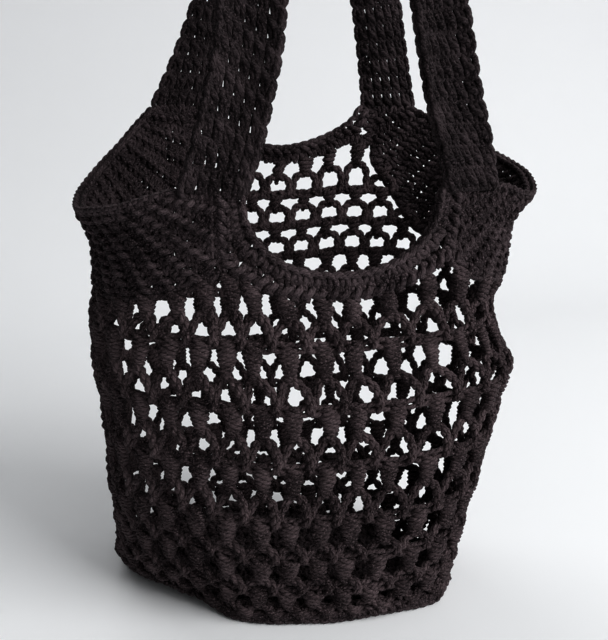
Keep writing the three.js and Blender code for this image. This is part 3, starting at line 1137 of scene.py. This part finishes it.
    def wound_posts(self, yarn: YarnMesh, weave: Weave, cells: Array, wound: int, hand: Hand) -> None:
        """Winds posts that have the same number of turns.

        Args:
            yarn: the mesh that takes them
            weave: how they are worked
            cells: one row per post
            wound: turns of each
            hand: the hand
        """
        column, _, low, high = cells.T[:, :, None]
        each = column.shape
        part = np.linspace(0, 1, wound * self.TURN_POINTS + 1)
        phase = hand.uniform(0, 1, each)
        angle = FULL * (wound * part + phase)
        swell = POST_PROFILE.smooth("swell", part) * hand.normal(1, self.swell[0], each)
        swell = swell * (1 + self.swell[1] * np.sin(self.WAVE * angle + self.WAVE_START * phase))
        height = low + (high + self.cap - low) * part
        sway = hand.normal(0, self.stray[0], each) * np.sin(np.pi * part)
        share = self.share(column, height) + hand.normal(0, self.stray[1], each) + sway
        height = self.settle(share, height)
        axis = self.wall.place(share, height, self.middle)
        normal = self.wall.normal(share, height)
        wide = np.cross(UP, normal) * (np.cos(angle) * weave.post_wide * swell)[..., None]
        ring = wide + normal * (np.sin(angle) * weave.post_deep * swell)[..., None]
        slant = self.slant * hand.normal(1, self.uneven_dip, each)
        dip = -UP * (slant * np.cos(angle))[..., None]
        yarn.add(axis + ring + dip, unit(ring), self.post_yarn)

    def legs(self) -> bpy.types.Object:
        """The twisted legs that go from the foot of each post to the round below.

        Returns:
            the piece
        """
        yarn = YarnMesh("net_legs")
        hand = self.hand()
        part = np.linspace(0, 1, self.LEG_POINTS)
        for weave, cells in self.cells().items():
            column, low, foot, _ = cells.T[:, :, None]
            aside, down, bow = weave.course.sizes(part).values()
            high = foot + self.hook
            for way, out in zip((1, -1), self.leg_out):
                start = self.share(column, foot)
                end = self.between(column, way, low)
                share = start + (end - start) * aside * hand.normal(1, self.leg_stray[0], low.shape)
                height = high - (high - low) * down + hand.normal(0, self.leg_stray[1], low.shape)
                height = self.settle(share, height)
                middle = self.wall.place(share, height, self.middle + out + bow)
                normal = self.wall.normal(share, height)
                across = unit(np.cross(normal, np.gradient(middle, axis=1)))
                length = run_of(middle)[:, -1:]
                phase = hand.uniform(0, FULL, low.shape)
                for strand in (0.0, np.pi):
                    angle = (strand + phase + FULL * part * length / self.leg_turn)[..., None]
                    offset = across * np.cos(angle) + normal * np.sin(angle) * self.leg_flat
                    yarn.add(middle + offset * weave.leg_twist, normal, weave.leg_yarn)
        return self.finish(yarn, "net")

    def chains(self) -> bpy.types.Object:
        """The chain that runs round the bag between two rounds of posts.

        Returns:
            the piece
        """
        yarn = YarnMesh("net_chains")
        column, low, _, _ = np.concatenate(list(self.cells().values())).T[:, :, None]
        before, after = (self.between(column, way, low) for way in (-1, 1))
        part = np.linspace(0, 1, self.LINK_POINTS)
        share = before + (after - before) * part
        hand = self.hand()
        bend, uneven = self.link_wave
        height = low + bend * np.cos(FULL * part) + hand.normal(0, uneven, share.shape)
        height = self.settle(share, height)
        knots = self.wall.place(share, height, self.middle + hand.normal(*self.link_out, share.shape))
        self.chain.work(yarn, knots, self.wall.normal(share, height), *self.link)
        return self.finish(yarn, "net")

    def make(self) -> None:
        """Builds the net's pieces."""
        self.posts()
        self.legs()
        self.chains()


@dataclass
class Base(Crochet):
    """The flat bottom, worked in rounds from a middle line to the edge.

    Attributes:
        net: the net that stands on it
        rounds: the number of rounds
        cut: the height at which its outline is read
        pitch: distance between rounds
        length: length of a stitch
        level: height of the middle of the fabric
        soft: how far in from its edge the bottom lifts with the net
        inset: how far the first round lies in from the outline
        narrowest: half depth of the innermost rounds
        fewest: stitches of the innermost round
        edge_stitches: stitches of the edge round
        edge_wave: how far the edge round bends with the net's columns
        edge_height: height of the edge round
        edge_out: how far it lies out of the wall
        edge_link: spread and lift of its stitches
    """

    net: Net | None = None
    rounds: int = 11
    cut: float = 2.0
    pitch: float = 8.0
    length: float = 8.2
    level: float = 6.7
    soft: float = 50.0
    inset: float = 5.0
    narrowest: float = 3.0
    fewest: int = 12
    edge_stitches: int = 104
    edge_wave: float = 0.8
    edge_height: float = 5.0
    edge_out: float = -3.8
    edge_link: tuple[float, float] = (2.2, 1.7)

    def make(self) -> bpy.types.Object:
        """Builds the rounds and the edge that the net stands on.

        Returns:
            the piece
        """
        yarn = YarnMesh("base_rounds")
        hand = self.hand()
        row = SECTIONS.sizes(np.array(self.cut))
        for k in range(self.rounds):
            inset = self.inset + k * self.pitch
            depth = max(self.narrowest, row["half_depth"] - inset)
            outline = self.wall.ring({**row, "half_width": row["half_width"] - inset, "half_depth": depth})
            count = max(self.fewest, int(round(run_of(outline)[-1] / self.length)))
            share = np.linspace(0, 1, count + 1)
            lift = NET_SHIFT.straight("lift", share) * np.clip(1 - inset / self.soft, 0, 1) ** 2
            plan = read_off(outline, np.linspace(0, 1, len(outline)), share)
            knots = np.concatenate([plan, (self.level + lift)[:, None]], -1)
            pitch = np.full(count, self.pitch)
            self.close.work(yarn, knots, np.broadcast_to(-UP, knots.shape), pitch, k % 2 == 1, hand)
        self.edge(yarn)
        return self.finish(yarn, "base")

    def edge(self, yarn: YarnMesh) -> None:
        """Works the round between the bottom and the net.

        Args:
            yarn: the mesh that takes it
        """
        share = np.linspace(0, 1, self.edge_stitches + 1)[None]
        wave = self.edge_wave * np.cos(share * FULL * self.net.COLUMNS)
        height = self.net.settle(share, self.edge_height + wave)
        knots = self.wall.place(share, height, self.edge_out + wave)
        self.chain.work(yarn, knots, self.wall.normal(share, height), *self.edge_link)


@dataclass
class Band(Crochet):
    """The close edging of a neckline, worked along the rounded opening.

    Attributes:
        neck: which neckline
        rows: rows of edging
        length: length of a stitch
        pitches: the least and the most distance between rows
        first: where the first row lies, in rows from the opening
        spare: what is left over at the outer edge, in rows
        ends: points down each end of the edging, and along its bottom
        end_turn: the part of a quarter turn that an end takes of the opening
        corner: how evenly the opening's points lie, under 1 for more at its ends
        chain_at: where the chain runs between the edges
        link: spread and lift of the chain's stitches
    """

    neck: Neck = Neck.FRONT
    rows: int = 2
    length: float = 8.6
    pitches: tuple[float, float] = (6.5, 9.5)
    first: float = 0.6
    spare: float = 0.1
    ends: tuple[int, int] = (24, 60)
    end_turn: float = 0.3
    corner: float = 0.8
    chain_at: float = 0.02
    link: tuple[float, float] = (2.4, 1.7)

    def curves(self) -> tuple[Array, Array]:
        """The opening's edge and the edging's outer edge.

        Returns:
            matching shares and heights along each
        """
        middle, seam, _, _ = self.neck.value
        end, bottom = self.ends
        share = np.linspace(-YOKE_SHARE, YOKE_SHARE, bottom)
        top = self.wall.net_top(middle + share) + NET_CLEAR
        drop = np.linspace(seam, float(self.wall.net_top(middle + YOKE_SHARE)) + NET_CLEAR, end)[:-1]
        sides = [np.full(end - 1, side * YOKE_SHARE) for side in (-1, 1)]
        outer_share = np.concatenate([sides[0], share, sides[1]])
        outer_height = np.concatenate([drop, top, drop[::-1]])
        stops = (0, self.end_turn, 2 - self.end_turn, 2)
        down, along, up = (np.linspace(a, b, n) for a, b, n in zip(stops, stops[1:], (end, bottom, end)))
        swing = np.cos(np.concatenate([down[:-1], along, up[1:]]) * np.pi / 2)
        inner_share = -NECK_SHARE * np.sign(swing) * np.abs(swing) ** self.corner
        inner = np.stack([inner_share, self.neck.edge(inner_share)], -1)
        return inner, np.stack([outer_share, outer_height], -1)

    def line(self, inner: Array, outer: Array, part: float) -> tuple[Array, Array, Array]:
        """Knots along a line between the two edges.

        Args:
            inner: the opening's edge
            outer: the edging's outer edge
            part: where between them the line runs

        Returns:
            the knots, the outward directions and the edging's width at each stitch
        """
        shift = np.array([self.neck.value[0], 0.0])
        inner, outer = inner + shift, outer + shift
        line = inner + (outer - inner) * part
        length = run_of(self.wall.place(*line.T, CLOSE_MIDDLE))
        goal = np.linspace(0, length[-1], int(round(length[-1] / self.length)) + 1)
        share, height = read_off(line, length, goal).T
        gap = np.linalg.norm(self.wall.place(*outer.T, 0) - self.wall.place(*inner.T, 0), axis=1)
        wide = np.interp((goal[1:] + goal[:-1]) / 2, length, gap)
        return self.wall.place(share, height, CLOSE_MIDDLE), self.wall.normal(share, height), wide

    def make(self) -> bpy.types.Object:
        """Builds the rows of edging and the chain along the opening.

        Returns:
            the piece
        """
        name = f"{self.neck.name.lower()}_band"
        yarn = YarnMesh(f"{name}_rows")
        hand = self.hand()
        edges = self.curves()
        for row in range(self.rows):
            knots, normals, wide = self.line(*edges, (row + self.first) / (self.rows + self.spare))
            pitch = np.clip(wide / self.rows, *self.pitches)
            self.close.work(yarn, knots, normals, pitch, row % 2 == 1, hand)
        knots, normals, _ = self.line(*edges, self.chain_at)
        away = unit(np.cross(normals, np.gradient(knots, axis=0)))
        self.chain.work(yarn, knots[None], away[None], *self.link)
        return self.finish(yarn, name)


@dataclass
class Yoke(Crochet):
    """A close-worked side: rows that fan from the rim between the handles down to the net.

    Attributes:
        side: which side of the bag
        pitch: distance between rows halfway down
        length: length of a stitch
        pitches: the least and the most distance between rows
        fewest: stitches of the shortest row
        start: where a row begins under the rim, as a part of its length
        seams: heights of the seams at the front and the back edge
        fine: points along the rim and the lower edge, and down each end
        rim_stitches: stitches of the chain along the rim
        rim_link: spread and lift of those stitches
        rim_rise: how far that chain stands over the rim
        hem_link: spread and lift of the stitches of the lower edge
    """

    side: Side = Side.RIGHT
    pitch: float = 7.0
    length: float = 7.4
    pitches: tuple[float, float] = (4.4, 9.0)
    fewest: int = 4
    start: float = 0.02
    seams: tuple[float, float] = (336.0, 397.0)
    fine: tuple[int, int] = (160, 30)
    rim_stitches: int = 34
    rim_link: tuple[float, float] = (3.2, 2.6)
    rim_rise: float = 1.0
    hem_link: tuple[float, float] = (2.6, 2.0)

    COUNTED = 220

    def place(self, line: Array, out: float) -> Array:
        """Points of the leaning side.

        Args:
            line: shares and heights
            out: distance outwards

        Returns:
            points in millimetres
        """
        share, height = line[..., 0], line[..., 1]
        lip = self.side.value
        rim, lean = lip.rim.sizes(share).values()
        rise = np.maximum(0, 1 - (rim - height) / lip.reach)
        return self.wall.place(lip.sign * share, height, out + LIP_FLARE * lean * rise**2)

    def normals(self, line: Array) -> Array:
        """The outward directions at shares and heights."""
        return self.wall.normal(self.side.value.sign * line[..., 0], line[..., 1])

    def curves(self) -> tuple[Array, Array]:
        """The rim and the lower edge.

        Returns:
            shares and heights at fine steps along each
        """
        count, end = self.fine
        share = np.linspace(STRAP_SHARE, 0.5 - STRAP_SHARE, count)
        rim = np.stack([share, self.side.value.rim.smooth("height", share)], -1)
        share = np.linspace(YOKE_SHARE, 0.5 - YOKE_SHARE, count)
        top = self.wall.net_top(share) + NET_CLEAR - HEM.straight("drop", share)
        front = np.linspace(self.seams[0], top[0], end + 1)[:-1]
        back = np.linspace(top[-1], self.seams[1], end + 1)[1:]
        shares = np.concatenate([np.full(end, share[0]), share, np.full(end, share[-1])])
        return rim, np.stack([shares, np.concatenate([front, top, back])], -1)

    def even(self, line: Array, count: int) -> Array:
        """A line of shares and heights at equal steps of length.

        Args:
            line: the line at fine steps
            count: points wanted

        Returns:
            shares and heights
        """
        length = run_of(self.place(line, CLOSE_MIDDLE))
        return read_off(line, length, np.linspace(0, length[-1], count))

    def make(self) -> bpy.types.Object:
        """Builds the fanned rows and the chains along the rim and the lower edge.

        Returns:
            the piece
        """
        name = f"{self.side.name.lower()}_yoke"
        yarn = YarnMesh(f"{name}_rows")
        hand = self.hand()
        rim, low = self.curves()
        middle = self.place((self.even(rim, self.COUNTED) + self.even(low, self.COUNTED)) / 2, 0.0)
        rows = int(round(run_of(middle)[-1] / self.pitch))
        high, foot = self.even(rim, rows), self.even(low, rows)
        for row in range(rows):
            reach = run_of(self.place(np.stack([high[row], foot[row]]), 0.0))[-1]
            count = max(self.fewest, int(round(reach / self.length)))
            part = np.linspace(self.start, 1.0, count + 1)[:, None]
            other = row - 1 if row else row + 1
            line, beside = (high[k] + (foot[k] - high[k]) * part for k in (row, other))
            knots = self.place(line, CLOSE_MIDDLE)
            gap = np.linalg.norm(knots - self.place(beside, CLOSE_MIDDLE), axis=1)
            pitch = np.clip((gap[1:] + gap[:-1]) / 2, *self.pitches)
            self.close.work(yarn, knots, self.normals(line), pitch, row % 2 == 1, hand)
        line = self.even(rim, self.rim_stitches + 1)
        knots = self.place(line, CLOSE_MIDDLE)[None] + UP * self.rim_rise
        self.chain.work(yarn, knots, np.broadcast_to(UP, knots.shape), *self.rim_link)
        around = run_of(self.place(low, CLOSE_MIDDLE))[-1]
        line = self.even(low, int(round(around / self.length)) + 1)[None]
        self.chain.work(yarn, self.place(line, CLOSE_MIDDLE), self.normals(line), *self.hem_link)
        return self.finish(yarn, name)


@dataclass
class Handle(Crochet):
    """A strap worked in rows across, from one seam over the arch to the other.

    Attributes:
        name: the handle's name
        table: the half of the strap's course
        forward: -1 for the front, 1 for the back
        pitch: distance between rows
        stitches: stitches across
        inset: where the rows end and the edge chains run, as a part of the half width
        scallop: how far a row's end stands out, as a part of the half width
        skew: how far a row's ends lie along the strap from its middle, near the left foot
        crown: the place across the strap where the curl crosses its middle, squared
        fine: points along the strap when it is measured
        nudge: steps to each side for the strap's direction and for a row's rise
        tilt: how far the edge chains turn to the strap's face
        link: spread and lift of the edge chains
        tall: the stitch of the strap
    """

    name: str = "front_handle"
    table: Table = FRONT_HANDLE
    forward: int = -1
    pitch: float = 15.4
    stitches: int = 5
    inset: float = 0.85
    scallop: float = 0.04
    skew: float = 0.0
    crown: float = 0.4
    fine: int = 1201
    nudge: tuple[float, float] = (0.02, 0.05)
    tilt: float = 0.5
    link: tuple[float, float] = (2.0, 2.0)
    tall: TallStitch = field(default_factory=TallStitch)

    SKEW_AT = (0, 36, 120, 180)
    SKEW_PART = (0, 1, 1, 0)

    @property
    def last(self) -> int:
        """The step at the middle of the arch."""
        return len(self.table.rows) - 2

    def middle(self, step: Array) -> Array:
        """The middle of the strap.

        Args:
            step: signed steps from the middle of the arch

        Returns:
            points in millimetres
        """
        at = self.last - np.abs(step)
        side = np.where(step < 0, -1.0, 1.0)
        x = self.table.smooth("centre", at) + side * self.table.smooth("half_span", at)
        y = self.forward * self.table.smooth("depth", at)
        return np.stack([x, y, self.table.smooth("height", at)], -1)

    def frames(self, step: Array) -> tuple[Array, Array, Array]:
        """The strap's directions and sizes.

        Args:
            step: signed steps from the middle of the arch

        Returns:
            unit vectors across, unit vectors out, and columns of width and curl
        """
        at = self.last - np.abs(step)
        side = np.where(step < 0, -1.0, 1.0)
        lean, turn = (np.radians(self.table.smooth(name, at)) for name in ("lean", "turn"))
        level = side * np.cos(lean) * np.cos(turn)
        width = np.stack([level, -self.forward * np.sin(turn), np.sin(lean) * np.cos(turn)], -1)
        after = self.middle(np.minimum(self.last, step + self.nudge[0]))
        before = self.middle(np.maximum(-self.last, step - self.nudge[0]))
        face = unit(np.cross(after - before, width)) * -self.forward
        return width, face, np.stack([self.table.smooth(name, at) for name in ("width", "curl")], -1)

    def place(self, step: Array, across: Array) -> Array:
        """Points of the curled strap.

        Args:
            step: signed steps along it
            across: places across it from -1 to 1

        Returns:
            points in millimetres
        """
        width, face, sizes = self.frames(step)
        curl = sizes[..., 1] * (across**2 - self.crown)
        aside = across * sizes[..., 0] / 2
        return self.middle(step) + width * aside[..., None] + face * curl[..., None]

    def make(self) -> bpy.types.Object:
        """Builds the rows across and the chains along both edges.

        Returns:
            the piece
        """
        yarn = YarnMesh(f"{self.name}_rows")
        hand = self.hand()
        fine = np.linspace(-self.last, self.last, self.fine)
        length = run_of(self.middle(fine))
        rows = int(round(length[-1] / self.pitch))
        pitch = length[-1] / rows
        across = np.linspace(-self.inset, self.inset, self.stitches + 1)
        middle = (np.arange(rows) + 0.5) * pitch
        skew = self.skew * np.interp(middle, self.SKEW_AT, self.SKEW_PART)
        step = np.interp(middle[:, None] + skew[:, None] * across, length, fine)
        spot = np.broadcast_to(across, step.shape)
        after, before = np.clip([step + self.nudge[1], step - self.nudge[1]], -self.last, self.last)
        rise = unit(self.place(after, spot) - self.place(before, spot)) * pitch
        self.tall.work(yarn, self.place(step, spot), self.frames(step)[1], rise, hand)
        count = rows * 2
        along = np.interp(np.linspace(0, length[-1], count + 1), length, fine)
        width, face, _ = self.frames(along)
        for edge in (-1.0, 1.0):
            spot = edge * (self.inset - self.scallop * np.cos(np.pi * np.arange(count + 1)))
            normals = unit(width * edge + face * self.tilt)
            self.chain.work(yarn, self.place(along, spot)[None], normals[None], *self.link)
        return self.finish(yarn, self.name)


@dataclass(frozen=True)
class Studio:
    """The pale sweep, the soft light and the camera at the photograph's angle.

    Attributes:
        azimuth: degrees round the bag from the front
        elevation: degrees above the horizon
        distance: metres from the aim
        aim: height of the aim in metres
        focal: focal length in pixels of the picture
        picture: the picture's width and height in pixels
        reach: how far the floor goes to the sides and the front
        bend: where the floor begins to curve up behind the bag
        curve: radius of that curve
        top: height of the sweep behind the bag
        floor: colour of the floor
        back: darker colour of the sweep where it stands upright, painted shade for the weaker light there
        matt: roughness and specular level of the sweep
        bright: where the soft light comes from
        air: weakest and strongest strength of the soft light
        sky: colour of the soft light
        pale: how bright the backdrop looks beyond the sweep
        lit: height that the lamps point at
        gamma: the picture's gamma, under 1 for deep darks
    """

    azimuth: float = -15.0
    elevation: float = 14.0
    distance: float = 0.62
    aim: float = 0.225
    focal: float = 742.0
    picture: tuple[int, int] = (608, 640)
    reach: float = 9.0
    bend: float = 0.8
    curve: float = 0.9
    top: float = 1.3
    floor: Triple = (0.87, 0.88, 0.89)
    back: Triple = (0.72, 0.725, 0.735)
    matt: tuple[float, float] = (0.8, 0.15)
    bright: Triple = (0.6, -0.4, 0.69)
    air: tuple[float, float] = (0.0, 0.62)
    sky: Triple = (0.97, 0.98, 1.0)
    pale: float = 0.72
    lit: float = 0.15
    gamma: float = 0.85

    SENSOR = 36.0
    BENDS = 25

    def hang(self, name: str, what: bpy.types.ID, spot: Vector, ahead: Vector) -> bpy.types.Object:
        """Puts a camera or a lamp into the scene and points it.

        Args:
            name: the object's name
            what: the camera or the lamp
            spot: where it is, in metres
            ahead: the direction it points in

        Returns:
            the object
        """
        made = bpy.data.objects.new(name, what)
        made.location = spot
        made.rotation_mode = "QUATERNION"
        made.rotation_quaternion = ahead.to_track_quat("-Z", "Y")
        bpy.context.scene.collection.objects.link(made)
        return made

    def camera(self) -> None:
        """Sets the camera at the photograph's angle."""
        a, e = math.radians(self.azimuth), math.radians(self.elevation)
        back = Vector((math.sin(a) * math.cos(e), -math.cos(a) * math.cos(e), math.sin(e)))
        lens = bpy.data.cameras.new("camera")
        lens.sensor_width = self.SENSOR
        lens.lens = self.focal * lens.sensor_width / max(self.picture)
        spot = Vector((0, 0, self.aim)) + back * self.distance
        bpy.context.scene.camera = self.hang("camera", lens, spot, -back)

    def sweep(self) -> None:
        """Lays a wide pale floor that curves up far behind the bag."""
        turn = np.linspace(0, np.pi / 2, self.BENDS)
        y = [-self.reach, *(self.bend + self.curve * np.sin(turn)), self.bend + self.curve]
        z = [0.0, *(self.curve * (1 - np.cos(turn))), self.top]
        points = [(side * self.reach, b, c) for b, c in zip(y, z) for side in (-1, 1)]
        faces = [(2 * k, 2 * k + 1, 2 * k + 3, 2 * k + 2) for k in range(len(y) - 1)]
        mesh = bpy.data.meshes.new("sweep")
        mesh.from_pydata(points, [], faces)
        mesh.polygons.foreach_set("use_smooth", np.ones(len(faces), bool))
        made = bpy.data.objects.new("sweep", mesh)
        bpy.context.scene.collection.objects.link(made)
        paint = bpy.data.materials.new("pale_sweep")
        paint.use_nodes = True
        kit = NodeKit(paint.node_tree)
        where = kit.add("TexCoord", {}).outputs["Object"]
        # painted shade: the sweep darkens as it climbs from the floor to its upright part
        painted_climb_shade = kit.ramp(kit.add("SeparateXYZ", {0: where}).outputs["Z"], (0, self.curve))
        colour = kit.mix(painted_climb_shade, (*self.floor, 1), (*self.back, 1))
        rough, gloss = self.matt
        surface = {"Base Color": colour, "Roughness": rough, "Specular IOR Level": gloss}
        kit.feed(paint.node_tree.nodes["Principled BSDF"], surface)
        mesh.materials.append(paint)

    def lights(self) -> None:
        """Sets soft light that is strongest from the right, a broad lamp there and one behind."""
        world = bpy.data.worlds.new("studio")
        world.use_nodes = True
        kit = NodeKit(world.node_tree)
        where = kit.add("TexCoord", {}).outputs["Generated"]
        facing = kit.add("VectorMath", {0: where, 1: self.bright}, operation="DOT_PRODUCT")
        strength = kit.ramp(facing.outputs["Value"], (0, 1), self.air)
        seen = kit.add("LightPath", {}).outputs["Is Camera Ray"]
        shown = kit.add("Mix", {"Factor": seen, "A": strength, "B": self.pale}).outputs["Result"]
        kit.feed(world.node_tree.nodes["Background"], {"Color": (*self.sky, 1), "Strength": shown})
        bpy.context.scene.world = world
        self.lamp("key", spot=Vector((1.95, -1.95, 1.7)), size=2.2, power=116.0)
        self.lamp("fill", spot=Vector((-0.9, 2.6, 2.1)), size=2.4, power=50.0)

    def lamp(self, name: str, spot: Vector, size: float, power: float) -> None:
        """Hangs one broad lamp that points at the bag.

        Args:
            name: the lamp's name
            spot: where it hangs, in metres
            size: its width in metres
            power: its power in watts
        """
        light = bpy.data.lights.new(name, "AREA")
        light.size = size
        light.energy = power
        self.hang(name, light, spot, Vector((0, 0, self.lit)) - spot)

    def make(self) -> None:
        """Builds the studio."""
        self.camera()
        self.sweep()
        self.lights()
        look = bpy.context.scene.view_settings
        look.view_transform = "Standard"
        look.gamma = self.gamma


def main() -> None:
    """Builds the studio and every worked piece in order."""
    logging.basicConfig(level=logging.INFO, format="%(name)s: %(message)s")
    Studio().make()
    wall = Wall()
    open_work, close_work = NET_YARN.material(), CLOSE_YARN.material()
    net = Net(wall, open_work, seed=2)
    Base(wall, close_work, seed=3, net=net).make()
    net.make()
    for neck, seed in zip(Neck, (4, 5)):
        Band(wall, close_work, close=BAND_STITCH, seed=seed, neck=neck).make()
    for side, seed in zip(Side, (6, 7)):
        Yoke(wall, close_work, seed=seed, side=side).make()
    # painted shade: the straps take the darker copy of the yarn
    strap = SHADED_STRAP_YARN.material()
    Handle(wall, strap, seed=8, name="front_handle", table=FRONT_HANDLE, forward=-1, skew=13.0).make()
    Handle(wall, strap, seed=9, name="back_handle", table=BACK_HANDLE, forward=1).make()


if __name__ == "__main__":
    main()
